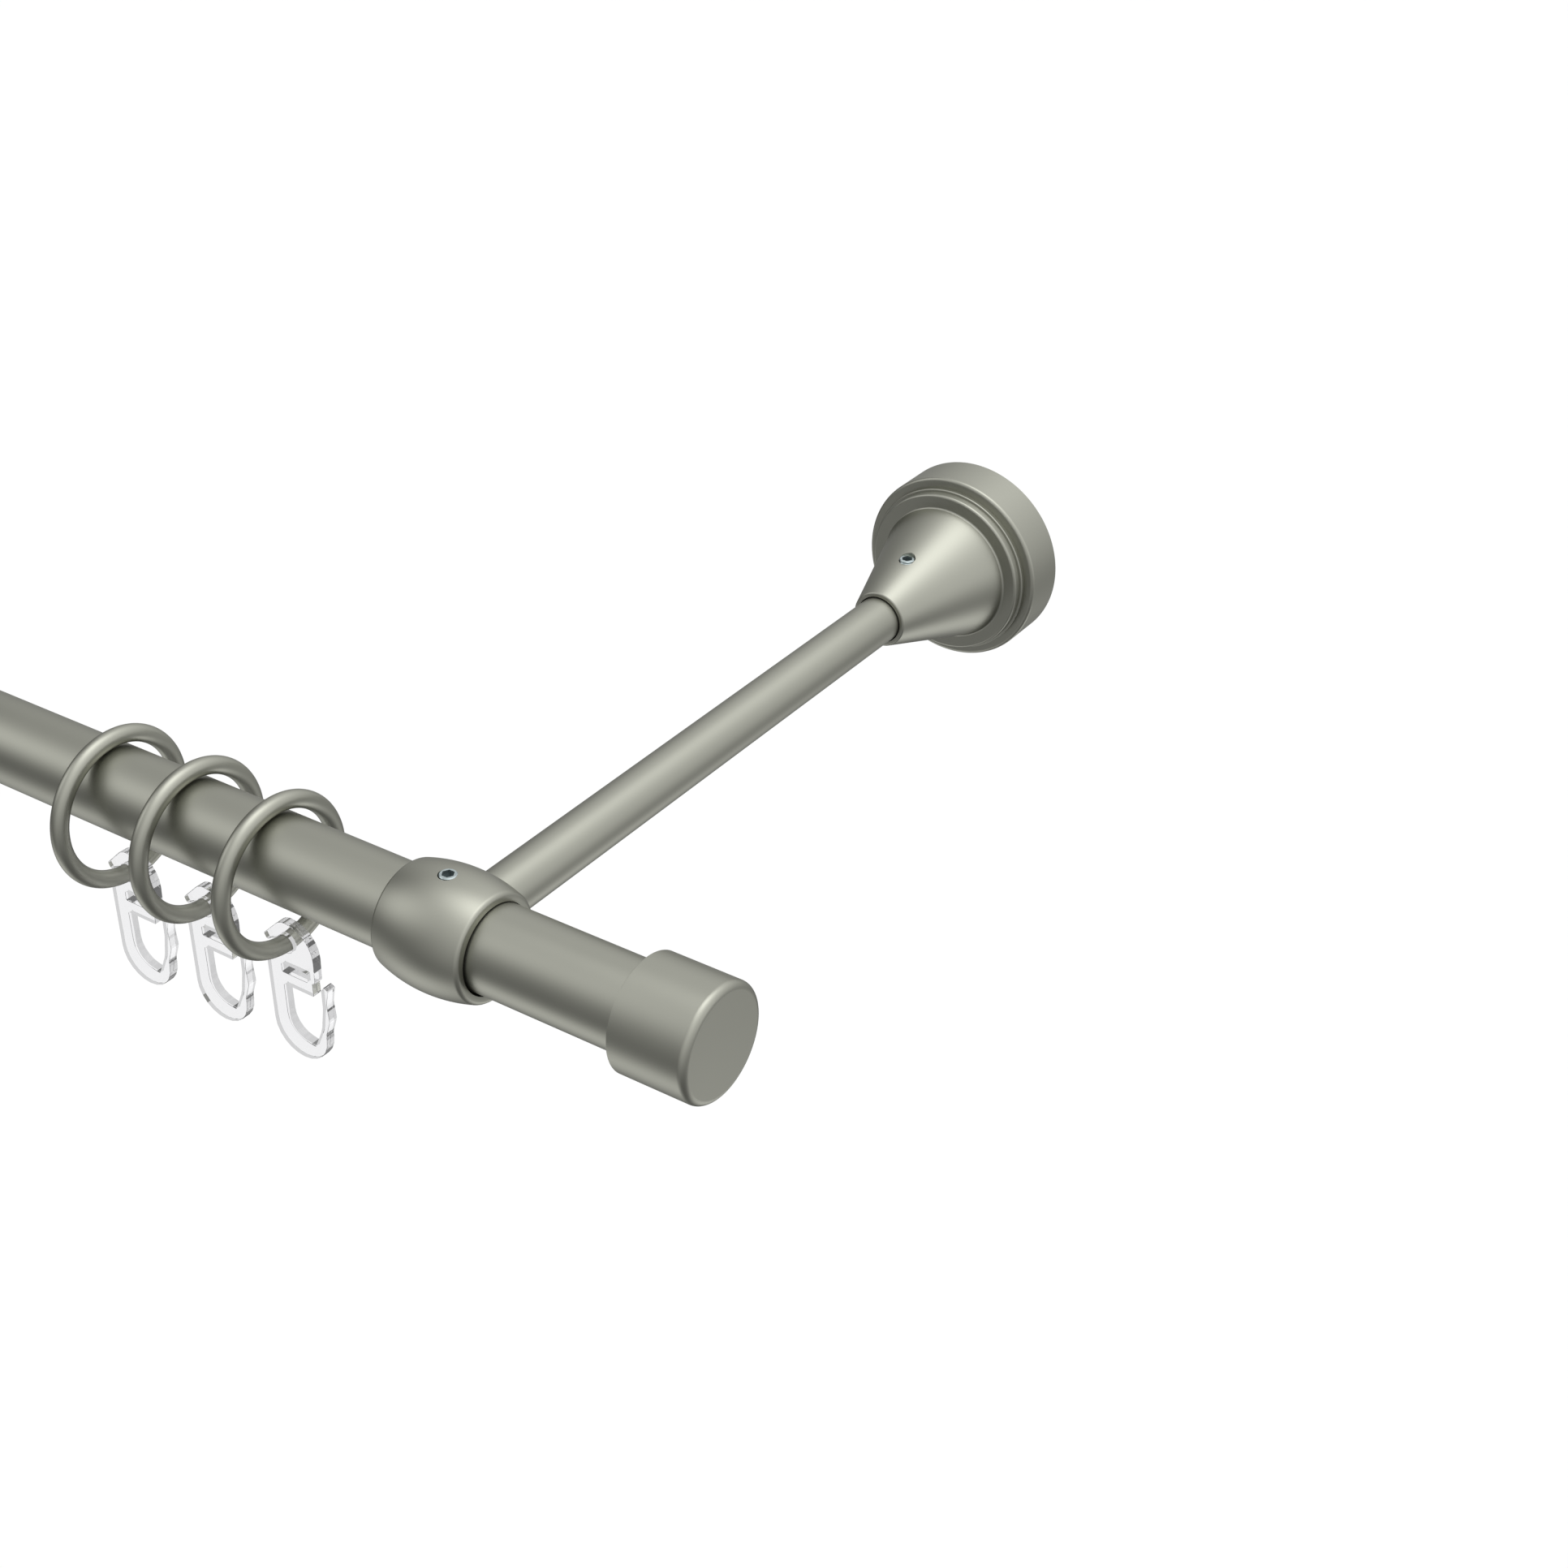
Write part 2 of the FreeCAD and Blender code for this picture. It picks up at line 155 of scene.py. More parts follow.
class HolderSizes(bpy.types.PropertyGroup):
    end_radius: metres("End radius", "Outer radius of the barrel at its two ends", 0.0122)
    bore_gap: metres("Bore gap", "Room between the holder's bore and the pole", 0.00033)
    edge: metres("Edge", "Round on the outer rims", 0.0008)
    inner_edge: metres("Inner edge", "Small round at the mouth of the bore", 0.00006)
    seat_gap: metres("Seat gap", "Room round the arm in its seat", 0.0001)
    arc_points: IntProperty(
        name="Arc points", description="Points along the barrel's curved outline",
        default=24, min=6)


class ScrewSizes(bpy.types.PropertyGroup):
    hexagon: metres("Hexagon", "Width of the socket across its flats", 0.0025)
    socket_depth: metres("Socket depth", "Depth of the hexagon socket", 0.0019)
    rim: metres("Rim", "Chamfer round the top of a grub screw", 0.0002)
    tip: metres("Tip", "Chamfer at the point of a grub screw", 0.0004)
    pitch: metres("Pitch", "Distance from one thread to the next", 0.0007)
    thread: metres("Thread depth", "Depth of the thread's grooves", 0.00025)
    hole_gap: metres("Hole gap", "Room round a grub screw in its threaded hole", 0.00005)
    rose_hole_gap: metres("Rose hole gap", "Room round the grub screw in the rose's plain hole", 0.00015)


class CapSizes(bpy.types.PropertyGroup):
    floor: metres("Floor", "Thickness of the cap's closed end", 0.0025)
    edge: metres("Edge", "Round on the front rim", 0.0017)
    mouth_edge: metres("Mouth edge", "Small round on the rim at the open end", 0.00012)
    bore_radius: metres("Bore radius", "Radius of the hole that holds the liner", 0.01145)
    liner_gap: metres("Liner gap", "Room between the liner and the pole", 0.00005)
    slit_width: metres("Slit width", "Width of each slit in the liner", 0.0012)
    slit_length: metres("Slit length", "Length of each slit in the liner", 0.009)
    slit_count: IntProperty(
        name="Slits", description="Number of slits round the liner", default=3, min=1)


class RoseSizes(bpy.types.PropertyGroup):
    drum: metres("Disc depth", "Depth of the outer disc", 0.012)
    wall: metres("Wall", "Thickness of the casting's wall", 0.002)
    step_radius: metres("Step radius", "Radius of the step in front of the disc", 0.0225)
    step: metres("Step", "How far the step stands in front of the disc", 0.0015)
    shelf: metres("Shelf", "Width of the flat between the first step and the second", 0.00065)
    band_radius: metres("Second step radius", "Radius at the front of the second step", 0.0217)
    band: metres("Second step", "Depth of the second step", 0.0021)
    cone_radius: metres("Cone radius", "Radius of the cone at its base", 0.018)
    nose_radius: metres("Nose radius", "Radius of the cone at its nose", 0.0073)
    bore_radius: metres("Bore radius", "Radius of the hole that the arm passes through", 0.0063)
    drum_edge: metres("Disc edge", "Round on the disc's front rim", 0.0009)
    step_edge: metres("Step edge", "Round on the step's rim", 0.0003)
    band_edge: metres("Second step edge", "Round on the second step's front rim", 0.0006)
    nose_edge: metres("Nose edge", "Round on the cone's nose", 0.0004)
    foot: metres("Foot", "Hollow round where the cone meets the second step", 0.0004)


class PlateSizes(bpy.types.PropertyGroup):
    thickness: metres("Thickness", "Thickness of the disc against the wall", 0.003)
    socket_radius: metres("Socket radius", "Outer radius of the socket that holds the arm", 0.008)
    socket_bore: metres("Socket bore", "Radius of the socket's bore", 0.00615)
    weld: metres("Weld", "Size of the weld at the foot of the socket", 0.0015)
    bolt_spacing: metres("Bolt spacing", "Distance between the two screw holes", 0.030)
    bolt_radius: metres("Bolt hole", "Radius of each screw hole", 0.0025)
    sink_radius: metres("Countersink", "Radius of each countersink", 0.0047)
    edge: metres("Edge", "Round on the disc's rims", 0.0003)


class HookSizes(bpy.types.PropertyGroup):
    eye_gap: metres("Eye gap", "Room between the eye and the ring's wire", 0.0003)
    hang_gap: metres("Hang gap", "Room left over the wire when the hook hangs", 0.00012)
    spine_left: metres("Spine", "Outer edge of the spine, from the wire's centre", -0.0065)
    spine_width: metres("Spine width", "Width of the spine", 0.0044)
    crown: metres("Crown", "Height of the crown over the wire's centre", 0.0058)
    crown_left: metres("Crown start", "Left-hand end of the crown's flat top", -0.0011)
    crown_radius: metres("Crown radius", "Radius of the crown's outer bend", 0.0076)
    shoulder_radius: metres("Shoulder radius", "Bend between the crown and the nose", 0.004)
    band_right: metres("Band", "Outer edge of the band beside the eye, at the crown", 0.0085)
    band_end: metres("Band end", "Outer edge of the band where it ends", 0.00785)
    band_end_z: metres("Band end height", "Height where the band ends", -0.008)
    block_right: metres("Block edge", "Right-hand side of the slotted block", 0.007)
    block_bottom: metres("Block", "Height of the slotted block's underside", -0.0118)
    slot_top: metres("Slot top", "Height of the slot's top", -0.006)
    slot_bottom: metres("Slot bottom", "Height of the slot's bottom", -0.0084)
    slot_right: metres("Slot end", "Right-hand end of the slot", 0.0056)
    nose_length: metres("Nose length", "From the wire's centre to the end of the upper lip", 0.0055)
    nose_top: metres("Nose top", "Top of the nose's blunt end", 0.0006)
    mouth: metres("Mouth", "Width of the mouth that snaps over the wire", 0.0032)
    mouth_angle: FloatProperty(
        name="Mouth angle", description="How far the mouth points down",
        default=math.radians(25), unit="ROTATION", subtype="ANGLE")
    bend_radius: metres("Bend radius", "Outer radius of the bend at the bottom", 0.008)
    bottom: metres("Bottom", "Height of the bend's lowest point", -0.0309)
    bend_inner_radius: metres("Inner bend radius", "Inner radius of the bend at the bottom", 0.006)
    bend_inner_z: metres("Inner bend height", "Height where the inner bend starts", -0.025)
    heel: metres("Heel", "Inner corner at the arm's foot, in from the bend's right-hand edge", 0.0039)
    heel_z: metres("Heel height", "Height of that corner", -0.0263)
    foot_z: metres("Foot height", "Height where the arm leaves the bend", -0.0215)
    swell: metres("Swell", "How far the arm swells outwards", 0.0016)
    swell_z: metres("Swell height", "Height of the swelling", -0.0172)
    swell_radius: metres("Swell radius", "Radius of the swelling", 0.003)
    waist: metres("Waist", "Outer side of the arm above the swelling", 0.0012)
    waist_z: metres("Waist height", "Height of the waist", -0.0125)
    arm_radius: metres("Arm radius", "Radius of the gentle bends along the arm", 0.006)
    tip_out: metres("Tip", "How far the arm's tip stands out", 0.0022)
    tip_side_z: metres("Tip side height", "Height of the tip's outer corner", -0.0084)
    tip_top: metres("Tip top", "Outward place of the tip's highest point", 0.0009)
    tip_z: metres("Tip height", "Height of the tip's highest point", -0.0077)
    tip_inner_z: metres("Tip inner height", "Height of the tip's inner corner", -0.0091)
    throat: metres("Throat", "Inner side of the arm, in from the bend's right-hand edge", 0.0001)
    throat_z: metres("Throat height", "Height of the throat", -0.014)
    calf: metres("Calf", "Inner side of the arm lower down", 0.0012)
    calf_z: metres("Calf height", "Height of the calf", -0.0203)
    corner: metres("Corner", "Round on the small corners", 0.0004)
    edge: metres("Edge", "Tiny bevel on the moulding's edges", 0.00006)
    facet: FloatProperty(
        name="Facet", description="Angle of each flat facet round the moulding's bends",
        default=math.radians(17), unit="ROTATION", subtype="ANGLE")


class RodColours(bpy.types.PropertyGroup):
    satin: FloatVectorProperty(
        name="Satin metal", description="Colour of the satin metal pieces",
        default=(0.402, 0.406, 0.354), subtype="COLOR", min=0, max=1)
    zinc: FloatVectorProperty(
        name="Zinc", description="Colour of the plated screws and wall plates",
        default=(0.56, 0.64, 0.65), subtype="COLOR", min=0, max=1)
    plastic: FloatVectorProperty(
        name="Clear plastic", description="Tint of the clip hooks",
        default=(0.87, 0.87, 0.88), subtype="COLOR", min=0, max=1)
    liner: FloatVectorProperty(
        name="Liner plastic", description="Colour of the liners inside the end caps",
        default=(0.02, 0.02, 0.02), subtype="COLOR", min=0, max=1)


class StudioSettings(bpy.types.PropertyGroup):
    floor_drop: metres("Floor drop", "How far the floor lies below the rod", 0.9)
    lens: FloatProperty(
        name="Lens", description="Focal length for a sensor 36 mm wide, in millimetres",
        default=55.80)
    camera_turn: FloatVectorProperty(
        name="Camera turn", description="Camera's tilt, roll and heading",
        default=(math.radians(58.078), math.radians(0.126), math.radians(34.116)), subtype="EULER")
    camera_place: FloatVectorProperty(
        name="Camera place", description="Where the camera stands",
        default=(0.28802, -0.51308, 0.29148), unit="LENGTH", subtype="TRANSLATION")


class RodSettings(bpy.types.PropertyGroup):
    pole: PointerProperty(type=PoleSizes)
    holder: PointerProperty(type=HolderSizes)
    screw: PointerProperty(type=ScrewSizes)
    cap: PointerProperty(type=CapSizes)
    rose: PointerProperty(type=RoseSizes)
    plate: PointerProperty(type=PlateSizes)
    hook: PointerProperty(type=HookSizes)
    colours: PointerProperty(type=RodColours)
    studio: PointerProperty(type=StudioSettings)


# Modelling steps shared by the pieces


def deselect():
    """Deselect everything, so that the next operator acts on the new piece alone."""
    if bpy.context.object and bpy.context.object.mode != "OBJECT":
        bpy.ops.object.mode_set(mode="OBJECT")
    bpy.ops.object.select_all(action="DESELECT")


def select_only(piece):
    deselect()
    bpy.context.view_layer.objects.active = piece
    piece.select_set(True)


def apply_modifier(piece, kind, settings):
    """Add one modifier to a piece and apply it."""
    select_only(piece)
    bpy.ops.object.modifier_add(type=kind)
    modifier = piece.modifiers[-1]
    for key, value in settings.items():
        setattr(modifier, key, value)
    bpy.ops.object.modifier_apply(modifier=modifier.name)


def name_piece(name):
    piece = bpy.context.object
    piece.name = name
    piece.data.name = name
    bpy.ops.object.transform_apply(location=True, rotation=True, scale=True)
    return piece


def bar(name, start, finish, radius, steps):
    """Round bar between two points, as a primitive with its place in its mesh."""
    deselect()
    along = finish - start
    bpy.ops.mesh.primitive_cylinder_add(
        vertices=steps, radius=radius, depth=along.length, end_fill_type="NGON",
        location=(start + finish) / 2, rotation=along.to_track_quat("Z", "Y").to_euler())
    return name_piece(name)


def edit(kind="FACE"):
    bpy.ops.object.mode_set(mode="EDIT")
    bpy.ops.mesh.select_mode(type=kind)


def leave_edit():
    bpy.ops.object.mode_set(mode="OBJECT")


def choose(kind, test):
    """In edit mode, select only the vertices, edges or faces that pass the test."""
    bpy.ops.mesh.select_mode(type={"verts": "VERT", "edges": "EDGE", "faces": "FACE"}[kind])
    bpy.ops.mesh.select_all(action="DESELECT")
    mesh = bmesh.from_edit_mesh(bpy.context.object.data)
    found = [part for part in getattr(mesh, kind) if test(part)]
    for part in found:
        part.select_set(True)
    mesh.select_flush_mode()
    bmesh.update_edit_mesh(bpy.context.object.data)
    return len(found)


def facing(direction):
    """Test for faces whose normal points that way."""
    return lambda face: face.normal.dot(direction) > FACING


def on_rim(axis, centre, along, radius):
    """Test for edges of the circle at that distance along the axis and from it."""
    def at_rim(vertex):
        offset = vertex.co - centre
        here = offset.dot(axis)
        return max(abs(here - along), abs((offset - axis * here).length - radius)) < RIM_TOLERANCE
    return lambda edge: at_rim(edge.verts[0]) and at_rim(edge.verts[1])


def draw_outline(name, points):
    """Line through the points, made from a plane merged to one vertex and extruded on."""
    deselect()
    bpy.ops.mesh.primitive_plane_add(size=SEED_SIZE, location=points[0])
    piece = name_piece(name)
    edit("VERT")
    bpy.ops.mesh.select_all(action="SELECT")
    bpy.ops.mesh.merge(type="CENTER")
    for before, after in zip(points, points[1:]):
        bpy.ops.mesh.extrude_vertices_move(TRANSFORM_OT_translate={"value": after - before})
    return piece


def rounded_outline(corners, facet):
    """Points round a closed outline in the XZ plane, from (x, z, radius) corners.

    Each bend is made of flat facets. A radius too large for its sides is reduced.
    """
    points = [Vector((x, 0, z)) for x, z, radius in corners]
    radii = [radius for x, z, radius in corners]
    count = len(points)
    backs = [(points[i - 1] - points[i]).normalized() for i in range(count)]
    aheads = [(points[(i + 1) % count] - points[i]).normalized() for i in range(count)]
    halves = [backs[i].angle(aheads[i]) / 2 for i in range(count)]
    cuts = [radii[i] / math.tan(halves[i]) for i in range(count)]
    shares = [1.0] * count
    for i in range(count):
        after = (i + 1) % count
        side = (points[after] - points[i]).length
        if cuts[i] + cuts[after] > side:
            share = side / (cuts[i] + cuts[after])
            shares[i] = min(shares[i], share)
            shares[after] = min(shares[after], share)
    outline = []
    for i in range(count):
        reach = (backs[i] + aheads[i]).normalized() * radii[i] * shares[i] / math.sin(halves[i])
        centre = points[i] + reach
        start = points[i] + backs[i] * cuts[i] * shares[i] - centre
        finish = points[i] + aheads[i] * cuts[i] * shares[i] - centre
        sweep = math.pi - 2 * halves[i]
        steps = math.ceil(sweep / facet) if radii[i] > 0 else 0
        outline.append(centre + start)
        for step in range(1, steps + 1):
            turn = Quaternion(start.cross(finish), sweep * step / steps)
            outline.append(centre + turn @ start)
    outline.append(outline[0])
    return outline


def flat_plate(name, corners, facet, centre, thickness):
    """Flat plate of that thickness across Y, cut to an outline of (x, z, radius) corners."""
    shift = centre - Y * thickness / 2
    piece = draw_outline(name, [shift + point for point in rounded_outline(corners, facet)])
    bpy.ops.mesh.select_all(action="SELECT")
    bpy.ops.mesh.remove_doubles(threshold=MERGE_DISTANCE)
    bpy.ops.mesh.select_all(action="SELECT")
    bpy.ops.mesh.edge_face_add()
    bpy.ops.mesh.extrude_region_move(TRANSFORM_OT_translate={"value": Y * thickness})
    close_mesh()
    leave_edit()
    return piece


def close_mesh():
    """Merge doubles and turn all faces outwards, in edit mode."""
    bpy.ops.mesh.select_all(action="SELECT")
    bpy.ops.mesh.remove_doubles(threshold=MERGE_DISTANCE)
    bpy.ops.mesh.normals_make_consistent(inside=False)


def threads(start, end, radius, depth, pitch):
    """Outline of V-shaped thread grooves between two places, as (along, radius) points."""
    count = int((end - start) / pitch)
    first = end - count * pitch
    points = [(start, radius)]
    for index in range(count):
        along = first + index * pitch
        points += [(along + share * pitch, radius - deep * depth) for share, deep in THREAD_SHAPE]
    return points + [(end, radius)]


def turned(name, outline, axis, centre, steps=ROUND_STEPS, outwards=Z):
    """Spin an outline of (along, radius) points about an axis, as on a lathe."""
    points = [centre + axis * along + outwards * radius for along, radius in outline]
    piece = draw_outline(name, points)
    bpy.ops.mesh.select_all(action="SELECT")
    bpy.ops.mesh.spin(steps=steps, angle=2 * math.pi, center=centre, axis=axis)
    close_mesh()
    leave_edit()
    return piece


def round_rim(axis, centre, along, radius, width, segments=4):
    """Round one circular edge of the active piece."""
    edit("EDGE")
    if not choose("edges", on_rim(axis, centre, along, radius)):
        raise RuntimeError("no rim at %.5f, %.5f" % (along, radius))
    bpy.ops.mesh.bevel(offset=width, offset_type="OFFSET", segments=segments, profile=0.5, affect="EDGES")
    leave_edit()


def cut(piece, cutter):
    """Cut one piece with another and delete the cutter."""
    apply_modifier(piece, "BOOLEAN", {"operation": "DIFFERENCE", "solver": "EXACT", "object": cutter})
    bpy.data.objects.remove(cutter, do_unlink=True)


def smooth(piece):
    """Smooth shading with sharp edges, where large faces keep their own direction."""
    select_only(piece)
    bpy.ops.object.shade_smooth_by_angle(angle=SMOOTH_ANGLE)
    apply_modifier(piece, "WEIGHTED_NORMAL", {"keep_sharp": True, "weight": 100})


def copy_piece(piece, name, shift):
    """Copy with a mesh of its own, moved along."""
    select_only(piece)
    bpy.ops.object.duplicate(linked=False)
    bpy.ops.transform.translate(value=shift)
    return name_piece(name)


def turn_about(piece, angle, axis, centre):
    """Turn a piece about a line through a point, along X, Y or Z."""
    select_only(piece)
    bpy.ops.transform.rotate(value=angle, orient_axis=axis, orient_type="GLOBAL", center_override=centre)
    bpy.ops.object.transform_apply(location=True, rotation=True, scale=True)


def turn_end_for_end(piece):
    """Turn a piece half round the vertical line through the middle of the pole."""
    turn_about(piece, math.pi, "Z", POLE)


def place(piece, body, node, slot):
    """Give a finished piece its finish in its slot, attach it to its body and hide the solid that it stands
    for.
    """
    piece.data.materials.clear()
    piece.data.materials.append(bpy.data.materials["finish_" + slot])
    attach(piece, body)
    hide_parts(node)


def place_pair(piece, stem, slot, mirrored=False):
    """Finish a right-hand piece of the frame and its fellow at the left."""
    if mirrored:
        other = copy_piece(piece, stem + "_left_piece", Vector())
        turn_end_for_end(other)
    else:
        other = copy_piece(piece, stem + "_left_piece", BRACKET_SHIFT)
    place(piece, "frame", stem + "_right", slot)
    place(other, "frame", stem + "_left", slot)


def paint_socket_shade(name, mouth, radius):
    """Paint shade on the walls and floor of an upright screw's socket, as a darker finish of their own."""
    screw = bpy.data.objects[name]
    screw.data.materials.append(bpy.data.materials["finish_socket_steel"])
    select_only(screw)

    def in_socket(face):
        away = face.calc_center_median() - mouth
        return away.z < -SOCKET_MARGIN and math.hypot(away.x, away.y) < radius

    edit()
    choose("faces", in_socket)
    screw.active_material_index = 1
    bpy.ops.object.material_slot_assign()
    leave_edit()


# Shader arithmetic


class Link:
    """A node's output that takes part in Python arithmetic. Each step adds a Math node."""

    def __init__(self, graph, socket):
        self.graph = graph
        self.socket = socket

    def maths(self, operation, *inputs):
        return self.graph.maths(operation, *inputs)

    def __add__(self, other):
        return self.maths("ADD", self, other)

    def __radd__(self, other):
        return self.maths("ADD", other, self)

    def __sub__(self, other):
        return self.maths("SUBTRACT", self, other)

    def __rsub__(self, other):
        return self.maths("SUBTRACT", other, self)

    def __mul__(self, other):
        return self.maths("MULTIPLY", self, other)

    def __rmul__(self, other):
        return self.maths("MULTIPLY", other, self)

    def exp(self):
        return self.maths("EXPONENT", self)

    def at_least(self, floor):
        return self.maths("MAXIMUM", self, floor)


class Graph:
    """Builds the nodes of one material or world."""

    def __init__(self, tree):
        self.tree = tree
        self.tree.nodes.clear()

    def add(self, kind, settings=None, values=None, output=0):
        """One node: its settings first, then the values or links of its sockets."""
        node = self.tree.nodes.new(kind)
        for key, value in (settings or {}).items():
            setattr(node, key, value)
        for key, value in (values or {}).items():
            if isinstance(value, Link):
                self.tree.links.new(value.socket, node.inputs[key])
            else:
                node.inputs[key].default_value = value
        return Link(self, node.outputs[output]) if node.outputs else node

    def maths(self, operation, *inputs):
        return self.add("ShaderNodeMath", {"operation": operation}, dict(enumerate(inputs)))

    def coordinates(self, kind="Object"):
        """Where the shaded point lies on its object, or which way it lies in the world."""
        return self.add("ShaderNodeTexCoord", output=kind)

    def towards(self, way, aim):
        """Cosine between a direction and an aim."""
        return self.add(
            "ShaderNodeVectorMath", {"operation": "DOT_PRODUCT"}, {0: way, 1: aim}, output="Value")

    def path(self, kind):
        """What kind of ray looks, from Light Path."""
        return self.add("ShaderNodeLightPath", output=kind)

    def noise(self, where, scale, detail, roughness=0.5):
        return self.add(
            "ShaderNodeTexNoise", {"noise_dimensions": "3D"},
            {"Vector": where, "Scale": scale, "Detail": detail, "Roughness": roughness})

    def mix(self, factor, first, second):
        """Mix two colours."""
        return self.add(
            "ShaderNodeMix", {"data_type": "RGBA", "blend_type": "MIX"},
            {"Factor": factor, 6: first, 7: second}, output=2)

    def bump(self, height, strength, distance):
        return self.add(
            "ShaderNodeBump", {}, {"Strength": strength, "Distance": distance, "Height": height})


def rgba(colour, share=1.0):
    """Colour times a share, with full alpha."""
    return tuple(min(channel * share, 1.0) for channel in colour) + (1.0,)


def new_material(name):
    material = bpy.data.materials.new(name)
    material.use_nodes = True
    return Graph(material.node_tree)


def finish_surface(graph, values):
    shader = graph.add("ShaderNodeBsdfPrincipled", {}, values)
    graph.add("ShaderNodeOutputMaterial", {}, {"Surface": shader})


def make_satin_metal(colour):
    """Stainless-look satin lacquer on metal: soft sheen, faint clouding and a very fine grain."""
    graph = new_material("finish_satin_metal")
    where = graph.coordinates()
    clouds = graph.noise(where, scale=38.0, detail=3.0)
    grain = graph.noise(where, scale=5200.0, detail=2.0, roughness=0.6)
    finish_surface(graph, {
        "Base Color": graph.mix(clouds, rgba(colour, 0.965), rgba(colour, 1.035)),
        "Metallic": 1.0,
        "Roughness": 0.35 + 0.03 * clouds + 0.03 * grain,
        "Specular Tint": rgba(EDGE_TINT),
        "Normal": graph.bump(grain, strength=0.1, distance=0.000004),
    })


def make_zinc_steel(colour):
    """Bright zinc plating: bluish, with fine spangles of lighter and darker metal."""
    graph = new_material("finish_zinc_steel")
    where = graph.coordinates()
    spangles = graph.add("ShaderNodeTexVoronoi", {}, {"Vector": where, "Scale": 2400.0}, output="Color")
    tone = graph.add("ShaderNodeRGBToBW", {}, {"Color": spangles})
    grain = graph.noise(where, scale=7000.0, detail=2.0)
    finish_surface(graph, {
        "Base Color": graph.mix(tone, rgba(colour, 0.8), rgba(colour, 0.96)),
        "Metallic": 1.0,
        "Roughness": 0.22 + 0.10 * grain,
        "Normal": graph.bump(grain, strength=0.2, distance=0.000004),
    })


def make_socket_painted_shade(colour):
    """Dull dark steel at the bottom of a socket: painted shade, the zinc's colour darkened, with a random
    mottle.
    """
    graph = new_material("finish_socket_steel")
    where = graph.coordinates()
    shade_mottle = graph.noise(where, scale=2600.0, detail=2.0)
    finish_surface(graph, {
        # painted shade: half to seven tenths of the zinc's colour stands in for the shade in the recess
        "Base Color": graph.mix(shade_mottle, rgba(colour, 0.5), rgba(colour, 0.7)),
        "Metallic": 1.0,
        "Roughness": 0.35 + 0.15 * shade_mottle,
        "Normal": graph.bump(shade_mottle, strength=0.2, distance=0.000006),
    })


def make_clear_plastic(colour):
    """Clear moulded plastic: glossy, faintly cool, with a hardly visible flow ripple and a faint painted
    glow.
    """
    graph = new_material("finish_clear_plastic")
    where = graph.coordinates()
    ripple = graph.noise(where, scale=420.0, detail=2.0)
    finish_surface(graph, {
        "Base Color": graph.mix(ripple, rgba(colour, 0.985), rgba(colour)),
        "Roughness": 0.015 + 0.02 * ripple,
        "IOR": 1.49,
        "Transmission Weight": 1.0,
        # painted light: a faint white glow, though the plastic is no lamp
        "Emission Color": WHITE,
        "Emission Strength": 0.02,
        "Normal": graph.bump(ripple, strength=0.05, distance=0.00001),
    })


def make_liner_plastic(colour):
    """Dull black moulded plastic with a fine spark-eroded grain."""
    graph = new_material("finish_liner_plastic")
    where = graph.coordinates()
    grain = graph.noise(where, scale=3000.0, detail=3.0)
    finish_surface(graph, {
        "Base Color": graph.mix(grain, rgba(colour, 0.8), rgba(colour, 1.3)),
        "Roughness": 0.55 + 0.15 * grain,
        "Normal": graph.bump(grain, strength=0.4, distance=0.00002),
    })


# Pieces


class ROD_OT_materials(bpy.types.Operator):
    """Make the finishes of the metal, zinc and plastic pieces"""
    bl_idname = "rod.materials"
    bl_label = "Materials"

    def execute(self, context):
        colours = context.scene.rod.colours
        make_satin_metal(colours.satin)
        make_zinc_steel(colours.zinc)
        make_socket_painted_shade(colours.zinc)
        make_clear_plastic(colours.plastic)
        make_liner_plastic(colours.liner)
        return {"FINISHED"}


class ROD_OT_pole(bpy.types.Operator):
    """Model the pole, a drawn tube"""
    bl_idname = "rod.pole"
    bl_label = "Pole"

    def execute(self, context):
        sizes = context.scene.rod.pole
        size = size_of("pole")
        radius = size.z / 2
        pole = bar("pole_piece", POLE - X * size.x / 2, POLE + X * size.x / 2, radius, ROUND_STEPS)
        edit()
        choose("faces", lambda face: abs(face.normal.x) > FACING)
        bpy.ops.mesh.inset(thickness=sizes.wall, use_boundary=True)
        bpy.ops.mesh.bridge_edge_loops()
        leave_edit()
        for end in (-size.x / 2, size.x / 2):
            round_rim(X, POLE, end, radius, sizes.end_edge, segments=3)
        smooth(pole)
        place(pole, "frame", "pole", "satin_metal")
        return {"FINISHED"}


class ROD_OT_arms(bpy.types.Operator):
    """Model the two round arms, each with a tapped hole in its front end"""
    bl_idname = "rod.arms"
    bl_label = "Arms"

    def execute(self, context):
        sizes = context.scene.rod.pole
        centre = centre_of("arm_right")
        size = size_of("arm_right")
        radius = size.z / 2
        arm = bar("arm_right_piece", centre - Y * size.y / 2, centre + Y * size.y / 2, radius, ROUND_STEPS)
        edit()
        choose("faces", facing(-Y))
        bpy.ops.mesh.inset(thickness=radius - sizes.tapped_radius)
        bpy.ops.mesh.extrude_region_move(TRANSFORM_OT_translate={"value": Y * sizes.tapped_depth})
        bpy.ops.mesh.extrude_region_move(TRANSFORM_OT_translate={"value": Y * sizes.tapped_radius / 2})
        bpy.ops.mesh.merge(type="CENTER")
        leave_edit()
        for end in (-size.y / 2, size.y / 2):
            round_rim(Y, centre, end, radius, sizes.end_edge, segments=3)
        smooth(arm)
        place_pair(arm, "arm", "satin_metal")
        return {"FINISHED"}


